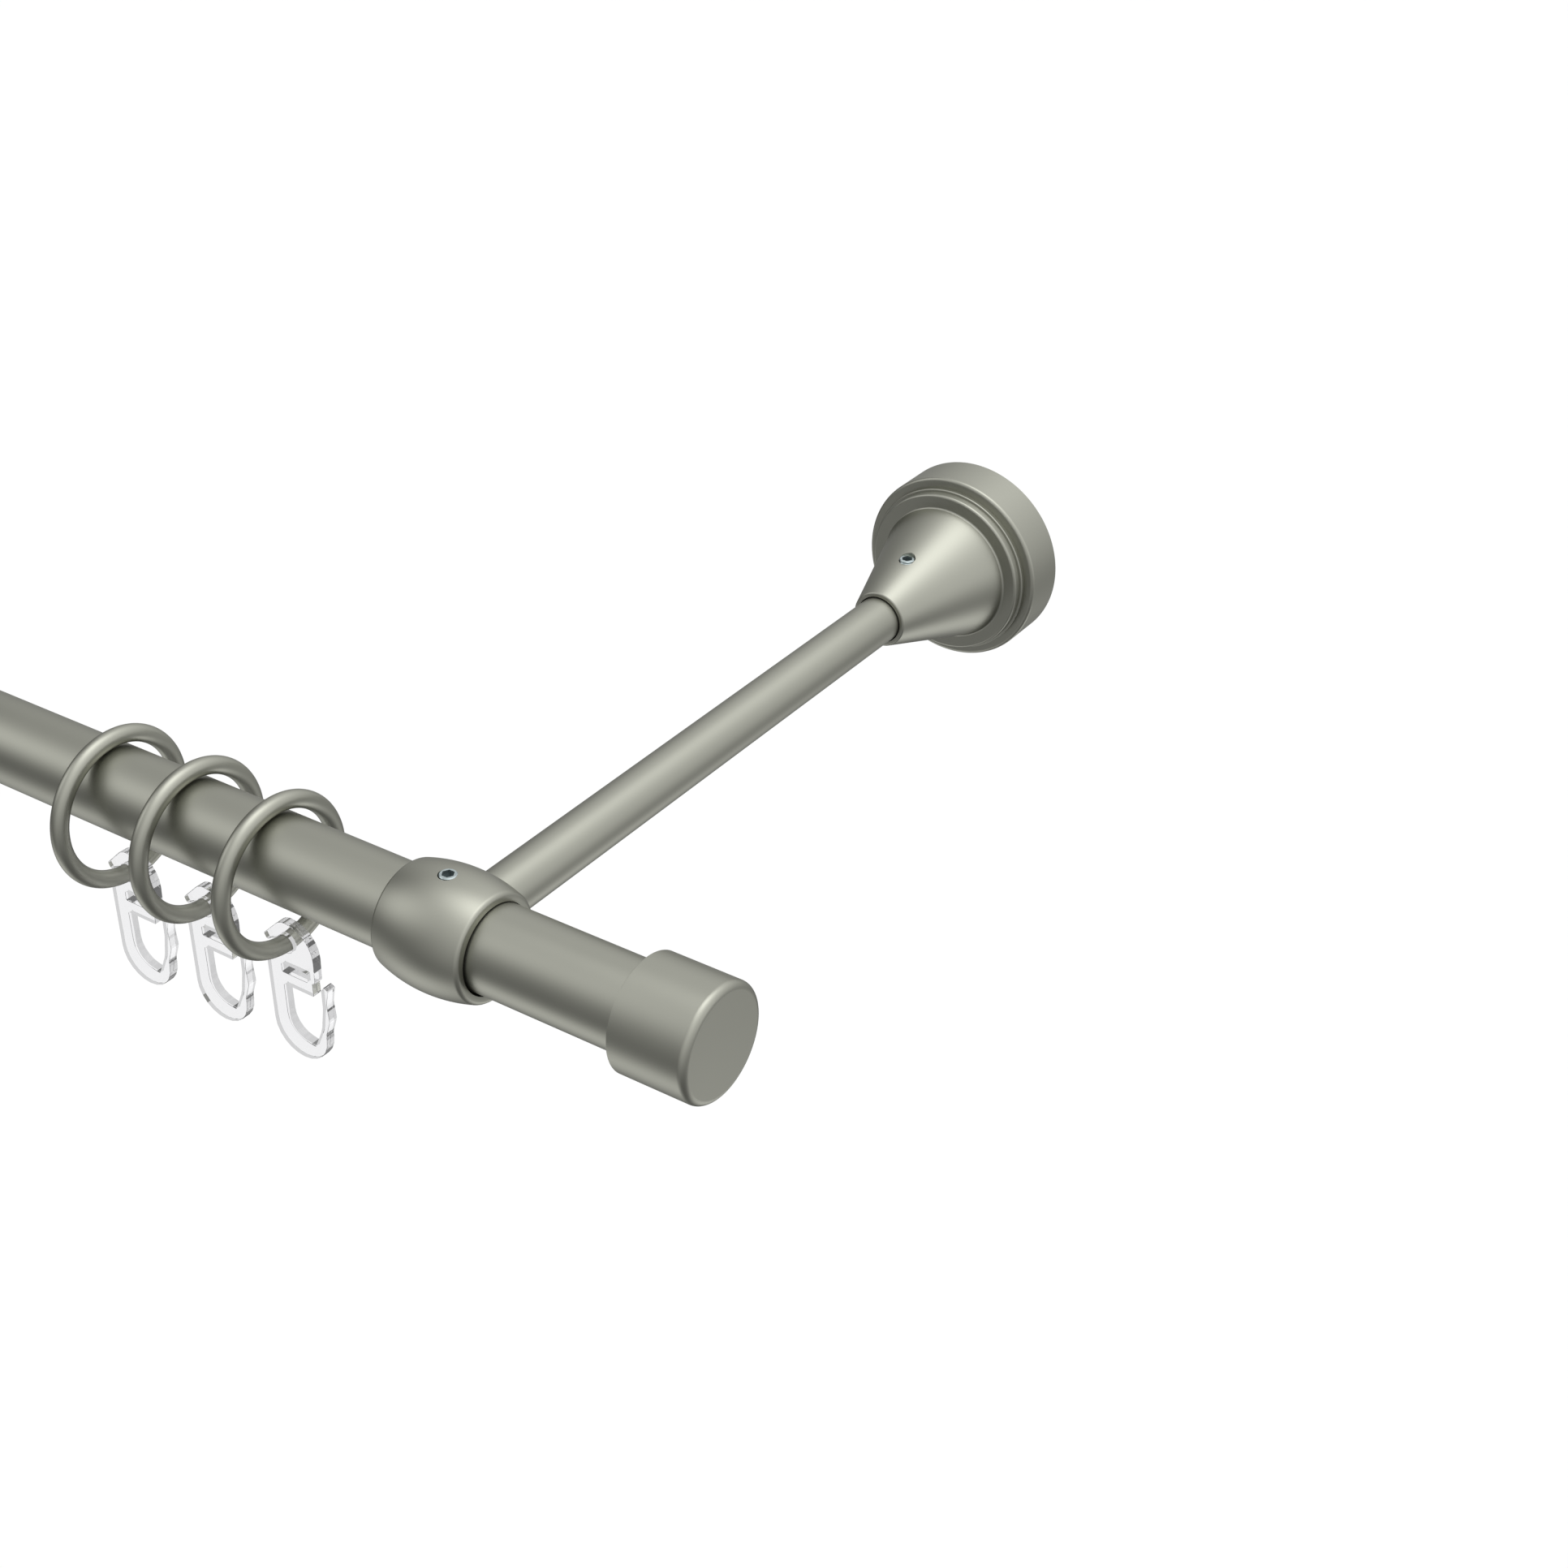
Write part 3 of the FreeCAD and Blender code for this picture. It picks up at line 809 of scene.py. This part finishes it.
class ROD_OT_holders(bpy.types.Operator):
    """Model the two barrel-shaped pole holders with their bore, arm seat and screw holes"""
    bl_idname = "rod.holders"
    bl_label = "Pole holders"

    def execute(self, context):
        sizes = context.scene.rod.holder
        size = size_of("holder_right")
        half = size.x / 2
        bulge = size.z / 2 - sizes.end_radius
        arc_radius = (half ** 2 + bulge ** 2) / (2 * bulge)
        arc_centre = size.z / 2 - arc_radius
        bore = size_of("pole").z / 2 + sizes.bore_gap
        outline = []
        for index in range(sizes.arc_points + 1):
            along = -half + size.x * index / sizes.arc_points
            outline.append((along, arc_centre + math.sqrt(arc_radius ** 2 - along ** 2)))
        outline += [(half, bore), (-half, bore), outline[0]]
        holder = turned("holder_right_piece", outline, X, HOLDER)
        for end in (-half, half):
            round_rim(X, HOLDER, end, sizes.end_radius, sizes.edge, segments=6)
            round_rim(X, HOLDER, end, bore, sizes.inner_edge, segments=2)
        arm_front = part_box("arm_right")[0].y
        arm_radius = size_of("arm_right").z / 2
        seat_start = Vector((HOLDER.x, arm_front, HOLDER.z))
        seat_end = Vector((HOLDER.x, HOLDER.y + size.y, HOLDER.z))
        cut(holder, bar("seat_cutter", seat_start, seat_end, arm_radius + sizes.seat_gap, LINER_STEPS))
        screw_radius = context.scene.rod.pole.tapped_radius
        cut(holder, bar("screw_cutter", HOLDER, seat_end, screw_radius, SMALL_STEPS))
        grub_radius = size_of("holder_screw_right").x / 2 + context.scene.rod.screw.hole_gap
        top = HOLDER + Z * (size.z / 2 + CUT_OVERRUN)
        cut(holder, bar("grub_cutter", HOLDER, top, grub_radius, SMALL_STEPS))
        smooth(holder)
        place_pair(holder, "holder", "satin_metal")
        return {"FINISHED"}


class ROD_OT_grub_screws(bpy.types.Operator):
    """Model the hexagon socket grub screws of the holders and the roses"""
    bl_idname = "rod.grub_screws"
    bl_label = "Grub screws"

    def execute(self, context):
        sizes = context.scene.rod.screw
        for stem in ("holder_screw", "rose_screw"):
            low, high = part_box(stem + "_right")
            centre = (low + high) / 2
            radius = (high.x - low.x) / 2
            foot = Vector((centre.x, centre.y, low.z))
            head = Vector((centre.x, centre.y, high.z))
            length = high.z - low.z
            outline = [(0, 0), (0, radius - sizes.tip)]
            outline += threads(sizes.tip, length - sizes.rim, radius, sizes.thread, sizes.pitch)
            outline += [(length, radius - sizes.rim), (length, 0)]
            screw = turned(stem + "_right_piece", outline, Z, foot, SMALL_STEPS, X)
            corner_radius = sizes.hexagon / math.sqrt(3)
            socket_floor = head - Z * sizes.socket_depth
            socket_mouth = head + Z * CUT_OVERRUN
            hexagon = bar("hexagon_cutter", socket_floor, socket_mouth, corner_radius, HEXAGON_SIDES)
            turn_about(hexagon, HEXAGON_TURN, "Z", centre)
            cut(screw, hexagon)
            smooth(screw)
            place_pair(screw, stem, "zinc_steel")
            for side, shift in (("right", Vector()), ("left", BRACKET_SHIFT)):
                # painted shade in the socket of each grub screw
                paint_socket_shade("%s_%s_piece" % (stem, side), head + shift, corner_radius)
        return {"FINISHED"}


class ROD_OT_arm_screws(bpy.types.Operator):
    """Model the countersunk screws that pull the arms onto the holders"""
    bl_idname = "rod.arm_screws"
    bl_label = "Arm screws"

    def execute(self, context):
        sizes = context.scene.rod.screw
        low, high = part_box("arm_screw_right")
        head = Vector(((low.x + high.x) / 2, low.y, (low.z + high.z) / 2))
        head_radius = (high.x - low.x) / 2
        shank_radius = context.scene.rod.pole.tapped_radius - sizes.hole_gap
        taper = head_radius - shank_radius
        length = high.y - low.y
        outline = [
            (0, 0), (0, head_radius), (taper, shank_radius),
            (length - sizes.tip, shank_radius), (length, shank_radius - sizes.tip), (length, 0)]
        screw = turned("arm_screw_right_piece", outline, Y, head, SMALL_STEPS)
        corner_radius = sizes.hexagon / math.sqrt(3) * ARM_HEXAGON
        socket_floor = head + Y * sizes.socket_depth
        socket_mouth = head - Y * CUT_OVERRUN
        cut(screw, bar("hexagon_cutter", socket_mouth, socket_floor, corner_radius, HEXAGON_SIDES))
        smooth(screw)
        place_pair(screw, "arm_screw", "zinc_steel")
        return {"FINISHED"}


class ROD_OT_end_caps(bpy.types.Operator):
    """Model the end caps: drums with a rounded front rim and a blind bore"""
    bl_idname = "rod.end_caps"
    bl_label = "End caps"

    def execute(self, context):
        sizes = context.scene.rod.cap
        low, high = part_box("end_cap_right")
        radius = (high.z - low.z) / 2
        length = high.x - low.x
        mouth = Vector((low.x, POLE.y, POLE.z))
        outline = [
            (length, 0), (length, radius), (0, radius), (0, sizes.bore_radius),
            (length - sizes.floor, sizes.bore_radius), (length - sizes.floor, 0)]
        cap = turned("end_cap_right_piece", outline, X, mouth)
        round_rim(X, mouth, length, radius, sizes.edge, segments=8)
        round_rim(X, mouth, 0, radius, sizes.mouth_edge, segments=2)
        smooth(cap)
        place_pair(cap, "end_cap", "satin_metal", mirrored=True)
        return {"FINISHED"}


class ROD_OT_cap_liners(bpy.types.Operator):
    """Model the split plastic liners inside the end caps"""
    bl_idname = "rod.cap_liners"
    bl_label = "Cap liners"

    def execute(self, context):
        sizes = context.scene.rod.cap
        low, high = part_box("cap_liner_right")
        outer = (high.z - low.z) / 2
        inner = size_of("pole").z / 2 + sizes.liner_gap
        length = high.x - low.x
        mouth = Vector((low.x, POLE.y, POLE.z))
        outline = [(0, inner), (0, outer), (length, outer), (length, inner), (0, inner)]
        liner = turned("cap_liner_right_piece", outline, X, mouth, LINER_STEPS)
        for index in range(sizes.slit_count):
            turn = math.pi + 2 * math.pi * index / sizes.slit_count
            outwards = Vector((0, -math.sin(turn), math.cos(turn)))
            deselect()
            bpy.ops.mesh.primitive_cube_add(
                size=1, location=mouth + X * length + outwards * outer,
                rotation=(turn, 0, 0), scale=(2 * sizes.slit_length, sizes.slit_width, outer))
            cut(liner, name_piece("slit_cutter"))
        smooth(liner)
        place_pair(liner, "cap_liner", "liner_plastic", mirrored=True)
        return {"FINISHED"}


class ROD_OT_roses(bpy.types.Operator):
    """Model the wall roses: disc with two steps and a cone in one hollow casting"""
    bl_idname = "rod.roses"
    bl_label = "Wall roses"

    def execute(self, context):
        sizes = context.scene.rod.rose
        low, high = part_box("rose_right")
        back = Vector(((low.x + high.x) / 2, high.y, (low.z + high.z) / 2))
        radius = (high.z - low.z) / 2
        length = high.y - low.y
        step_front = sizes.drum + sizes.step
        band_front = step_front + sizes.band
        room = -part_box("wall_plate_right")[0].y
        slope = (sizes.cone_radius - sizes.nose_radius) / (length - band_front)
        band_floor = band_front - sizes.wall
        drum_floor = sizes.drum - sizes.wall
        throat_radius = sizes.cone_radius - slope * (room - band_front) - sizes.wall
        outline = [
            (0, radius),
            (sizes.drum, radius),
            (sizes.drum, sizes.step_radius),
            (step_front, sizes.step_radius),
            (step_front, sizes.step_radius - sizes.shelf),
            (band_front, sizes.band_radius),
            (band_front, sizes.cone_radius),
            (length, sizes.nose_radius),
            (length, sizes.bore_radius),
            (room, sizes.bore_radius),
            (room, throat_radius),
            (band_floor, sizes.cone_radius + slope * sizes.wall - sizes.wall),
            (band_floor, sizes.band_radius - sizes.wall),
            (drum_floor, sizes.band_radius - sizes.wall),
            (drum_floor, radius - sizes.wall),
            (0, radius - sizes.wall),
            (0, radius),
        ]
        rose = turned("rose_right_piece", outline, -Y, back, ROUND_STEPS)
        for along, rim_radius, width, segments in (
                (sizes.drum, radius, sizes.drum_edge, 8),
                (step_front, sizes.step_radius, sizes.step_edge, 3),
                (band_front, sizes.band_radius, sizes.band_edge, 8),
                (length, sizes.nose_radius, sizes.nose_edge, 5),
                (band_front, sizes.cone_radius, sizes.foot, 4)):
            round_rim(-Y, back, along, rim_radius, width, segments)
        grub = centre_of("rose_screw_right")
        screw = context.scene.rod.screw
        grub_radius = size_of("rose_screw_right").x / 2 + screw.rose_hole_gap
        reach = size_of("rose_screw_right").z
        tap = threads(0, reach, grub_radius, screw.rose_hole_gap / 2, screw.pitch)
        tap = [(0, 0)] + tap + [(reach, 0)]
        cut(rose, turned("grub_cutter", tap, Z, grub, SMALL_STEPS, X))
        smooth(rose)
        place_pair(rose, "rose", "satin_metal")
        return {"FINISHED"}


class ROD_OT_wall_plates(bpy.types.Operator):
    """Model the wall plates: disc with countersunk holes and a welded socket for the arm"""
    bl_idname = "rod.wall_plates"
    bl_label = "Wall plates"

    def execute(self, context):
        sizes = context.scene.rod.plate
        low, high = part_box("wall_plate_right")
        back = Vector(((low.x + high.x) / 2, high.y, (low.z + high.z) / 2))
        radius = (high.z - low.z) / 2
        length = high.y - low.y
        outline = [
            (0, 0), (0, radius), (sizes.thickness, radius), (sizes.thickness, sizes.socket_radius),
            (length, sizes.socket_radius), (length, sizes.socket_bore),
            (sizes.thickness, sizes.socket_bore), (sizes.thickness, 0)]
        plate = turned("wall_plate_right_piece", outline, -Y, back, PLATE_STEPS)
        for along in (0, sizes.thickness):
            round_rim(-Y, back, along, radius, sizes.edge, segments=2)
        round_rim(-Y, back, sizes.thickness, sizes.socket_radius, sizes.weld)
        sink_depth = sizes.sink_radius - sizes.bolt_radius
        for side in (-1, 1):
            hole = back + Z * side * sizes.bolt_spacing / 2
            cut(plate, bar("bolt_cutter", hole + Y * CUT_OVERRUN, hole - Y * 2 * sizes.thickness,
                           sizes.bolt_radius, SMALL_STEPS))
            deselect()
            bpy.ops.mesh.primitive_cone_add(
                vertices=SMALL_STEPS, radius1=sizes.sink_radius, radius2=sizes.bolt_radius,
                depth=sink_depth, location=hole - Y * (sizes.thickness - sink_depth / 2),
                rotation=(-math.pi / 2, 0, 0))
            cut(plate, name_piece("sink_cutter"))
        grub = centre_of("rose_screw_right")
        grub_radius = size_of("rose_screw_right").x / 2 + context.scene.rod.screw.hole_gap
        foot = grub - Z * GRUB_HOLE_DEPTH
        cut(plate, bar("grub_cutter", foot, grub + Z * radius, grub_radius, SMALL_STEPS))
        smooth(plate)
        place_pair(plate, "wall_plate", "zinc_steel")
        return {"FINISHED"}


class ROD_OT_rings(bpy.types.Operator):
    """Model the curtain rings, round wire spun into a closed ring"""
    bl_idname = "rod.rings"
    bl_label = "Rings"

    def execute(self, context):
        size = size_of("ring_right_1")
        centre = centre_of("ring_right_1")
        wire = size.x / 2
        deselect()
        bpy.ops.mesh.primitive_circle_add(
            vertices=WIRE_STEPS, radius=wire, location=centre + Z * (size.z / 2 - wire))
        first = name_piece("ring_right_1_piece")
        edit("VERT")
        bpy.ops.mesh.select_all(action="SELECT")
        bpy.ops.transform.rotate(
            value=math.pi / 2, orient_axis="X", orient_type="GLOBAL",
            center_override=centre + Z * (size.z / 2 - wire))
        bpy.ops.mesh.spin(steps=ROUND_STEPS, angle=2 * math.pi, center=centre, axis=X)
        close_mesh()
        leave_edit()
        smooth(first)
        rings = {"ring_right_1": first}
        for side in ("right", "left"):
            for number in RING_NUMBERS:
                node = "ring_%s_%d" % (side, number)
                if node not in rings:
                    rings[node] = copy_piece(first, node + "_piece", centre_of(node) - centre)
        for node, ring in rings.items():
            place(ring, node + "_body", node, "satin_metal")
        return {"FINISHED"}


class ROD_OT_hooks(bpy.types.Operator):
    """Model the clear clip hooks: eye with a snap mouth, slotted block, spine and up-turned hook"""
    bl_idname = "rod.hooks"
    bl_label = "Clip hooks"

    def execute(self, context):
        sizes = context.scene.rod.hook
        ring_low, ring_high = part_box("ring_right_1")
        wire = (ring_high.x - ring_low.x) / 2
        hook_low, hook_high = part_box("hook_right_1")
        thickness = hook_high.y - hook_low.y
        fall = sizes.eye_gap - sizes.hang_gap
        eye = Vector((ring_low.x + wire, (hook_low.y + hook_high.y) / 2, ring_low.z + wire - fall))
        first = flat_plate("hook_right_1_piece", self.outside(sizes), sizes.facet, eye, thickness)
        eye_radius = wire + sizes.eye_gap
        across = Y * (thickness / 2 + CUT_OVERRUN)
        cut(first, bar("eye_cutter", eye - across, eye + across, eye_radius, EYE_STEPS))
        depth = thickness + CUT_OVERRUN
        cut(first, flat_plate("slot_cutter", self.slot(sizes), sizes.facet, eye, depth))
        edit("EDGE")
        choose("edges", lambda edge: edge.calc_face_angle(0) > HOOK_EDGE_ANGLE)
        bpy.ops.mesh.bevel(offset=sizes.edge, segments=1, affect="EDGES")
        leave_edit()
        hooks = {"hook_right_1": first}
        for number in RING_NUMBERS[1:]:
            shift = centre_of("hook_right_%d" % number) - centre_of("hook_right_1")
            hooks["hook_right_%d" % number] = copy_piece(first, "hook_right_%d_piece" % number, shift)
        for number in RING_NUMBERS:
            other = copy_piece(hooks["hook_right_%d" % number], "hook_left_%d_piece" % number, Vector())
            turn_end_for_end(other)
            hooks["hook_left_%d" % number] = other
        for node, hook in hooks.items():
            place(hook, node + "_body", node, "clear_plastic")
        return {"FINISHED"}

    def outside(self, sizes):
        """Corners of the hook's outline, up the nose, round the mouth and down the spine to the crown."""
        left = sizes.spine_left
        right = left + sizes.spine_width
        bend_right = left + 2 * sizes.bend_radius
        along = Vector((-math.cos(sizes.mouth_angle), 0, -math.sin(sizes.mouth_angle)))
        across = Vector((-math.sin(sizes.mouth_angle), 0, math.cos(sizes.mouth_angle))) * sizes.mouth / 2
        upper_lip = along * sizes.nose_length + across
        inner_upper = along * sizes.mouth / 4 + across
        inner_lower = along * sizes.mouth / 4 - across
        lower_lip = along * (-left - across.x) / math.cos(sizes.mouth_angle) - across
        corner = sizes.corner
        return [
            (left, sizes.nose_top, corner),
            (upper_lip.x, upper_lip.z, corner),
            (inner_upper.x, inner_upper.z, 0),
            (inner_lower.x, inner_lower.z, 0),
            (left, lower_lip.z, corner),
            (left, sizes.bottom, sizes.bend_radius),
            (bend_right, sizes.bottom, sizes.bend_radius),
            (bend_right, sizes.foot_z, sizes.swell_radius),
            (bend_right + sizes.swell, sizes.swell_z, sizes.swell_radius),
            (bend_right + sizes.waist, sizes.waist_z, sizes.arm_radius),
            (bend_right + sizes.tip_out, sizes.tip_side_z, corner),
            (bend_right + sizes.tip_top, sizes.tip_z, corner),
            (bend_right, sizes.tip_inner_z, corner),
            (bend_right - sizes.throat, sizes.throat_z, sizes.arm_radius),
            (bend_right - sizes.calf, sizes.calf_z, sizes.arm_radius),
            (bend_right - sizes.heel, sizes.heel_z, corner),
            (right, sizes.bend_inner_z, sizes.bend_inner_radius),
            (right, sizes.block_bottom, corner),
            (sizes.block_right, sizes.block_bottom, corner),
            (sizes.block_right, sizes.band_end_z, corner),
            (sizes.band_end, sizes.band_end_z, corner),
            (sizes.band_right, sizes.crown, sizes.crown_radius),
            (sizes.crown_left, sizes.crown, sizes.shoulder_radius),
        ]

    def slot(self, sizes):
        right = sizes.spine_left + sizes.spine_width
        return [
            (right, sizes.slot_top, sizes.corner),
            (right, sizes.slot_bottom, sizes.corner),
            (sizes.slot_right, sizes.slot_bottom, sizes.corner),
            (sizes.slot_right, sizes.slot_top, sizes.corner),
        ]


# Studio


class ROD_OT_studio(bpy.types.Operator):
    """Set up the floor, the soft studio light and the camera"""
    bl_idname = "rod.studio"
    bl_label = "Studio"

    def execute(self, context):
        studio = context.scene.rod.studio
        self.make_world(context.scene)
        self.make_floor(studio)
        self.make_camera(context.scene, studio)
        context.scene.view_settings.view_transform = "Standard"
        return {"FINISHED"}

    def make_world(self, scene):
        """White to the camera. To the metal and the plastic, a pale room with soft light and dark parts."""
        world = bpy.data.worlds.new("studio")
        world.use_nodes = True
        scene.world = world
        graph = Graph(world.node_tree)
        way = graph.coordinates("Generated")
        light = ROOM_LEVEL + ROOM_SLOPE * graph.towards(way, Z)
        for azimuth, elevation, amount, tightness in ROOM_PATCHES:
            aim = self.aim(math.radians(azimuth), math.radians(elevation))
            light = light + amount * (tightness * (graph.towards(way, aim) - 1)).exp()
        through = graph.path("Is Transmission Ray")
        straight = through * graph.maths("LESS_THAN", graph.path("Glossy Depth"), 0.5)
        inside = through - straight
        light = (light + inside * (INSIDE_LIGHT - light)).at_least(ROOM_DARKEST)
        room = graph.add("ShaderNodeBackground", {}, {"Color": WHITE, "Strength": light})
        white = graph.add("ShaderNodeBackground", {}, {"Color": WHITE, "Strength": 1.0})
        backdrop = graph.path("Is Camera Ray") + straight + BACKDROP_SHARE * graph.path("Is Glossy Ray")
        shown = graph.add("ShaderNodeMixShader", {}, {0: backdrop, 1: room, 2: white})
        graph.add("ShaderNodeOutputWorld", {}, {"Surface": shown})

    def aim(self, azimuth, elevation):
        """Direction in the room. Azimuth 0 looks away from the wall and 90 along the pole to its right."""
        flat = math.cos(elevation)
        return Vector((math.sin(azimuth) * flat, -math.cos(azimuth) * flat, math.sin(elevation)))

    def make_floor(self, studio):
        deselect()
        bpy.ops.mesh.primitive_plane_add(
            size=FLOOR_SIZE, location=(POLE.x, POLE.y, cad_low.z - studio.floor_drop))
        floor = name_piece("floor")
        graph = new_material("floor")
        matt = graph.add("ShaderNodeBsdfDiffuse", {}, {"Color": FLOOR_TONE})
        bright = graph.add("ShaderNodeEmission", {}, {"Color": WHITE, "Strength": 1.0})
        share = FLOOR_WHITE * graph.path("Is Camera Ray")
        shown = graph.add("ShaderNodeMixShader", {}, {0: share, 1: matt, 2: bright})
        graph.add("ShaderNodeOutputMaterial", {}, {"Surface": shown})
        floor.data.materials.append(bpy.data.materials["floor"])
        floor.visible_glossy = False
        floor.visible_transmission = False
        floor.visible_diffuse = False

    def make_camera(self, scene, studio):
        deselect()
        bpy.ops.object.camera_add(location=studio.camera_place)
        camera = bpy.context.object
        camera.name = "camera"
        camera.rotation_mode = "YXZ"
        camera.rotation_euler = studio.camera_turn
        camera.data.lens = studio.lens
        camera.data.sensor_width = SENSOR_WIDTH
        camera.data.clip_start = NEAR_CLIP
        scene.camera = camera


PIECE_OPERATORS = (
    ROD_OT_materials, ROD_OT_pole, ROD_OT_arms, ROD_OT_holders, ROD_OT_grub_screws, ROD_OT_arm_screws,
    ROD_OT_end_caps, ROD_OT_cap_liners, ROD_OT_roses, ROD_OT_wall_plates, ROD_OT_rings, ROD_OT_hooks,
    ROD_OT_studio,
)


class ROD_PT_panel(bpy.types.Panel):
    """The pieces of the curtain rod, in the order in which they are made"""
    bl_idname = "ROD_PT_panel"
    bl_label = "Curtain Rod"
    bl_space_type = "VIEW_3D"
    bl_region_type = "UI"
    bl_category = "Curtain Rod"

    def draw(self, context):
        for operator in PIECE_OPERATORS:
            self.layout.operator(operator.bl_idname)


CLASSES = (
    PoleSizes, HolderSizes, ScrewSizes, CapSizes, RoseSizes, PlateSizes, HookSizes, RodColours,
    StudioSettings, RodSettings) + PIECE_OPERATORS + (ROD_PT_panel,)


def register():
    for item in CLASSES:
        bpy.utils.register_class(item)
    bpy.types.Scene.rod = PointerProperty(type=RodSettings)


def unregister():
    del bpy.types.Scene.rod
    for item in reversed(CLASSES):
        bpy.utils.unregister_class(item)


def main():
    register()
    bpy.ops.rod.materials()
    bpy.ops.rod.pole()
    bpy.ops.rod.arms()
    bpy.ops.rod.holders()
    bpy.ops.rod.grub_screws()
    bpy.ops.rod.arm_screws()
    bpy.ops.rod.end_caps()
    bpy.ops.rod.cap_liners()
    bpy.ops.rod.roses()
    bpy.ops.rod.wall_plates()
    bpy.ops.rod.rings()
    bpy.ops.rod.hooks()
    bpy.ops.rod.studio()


if __name__ == "__main__":
    main()
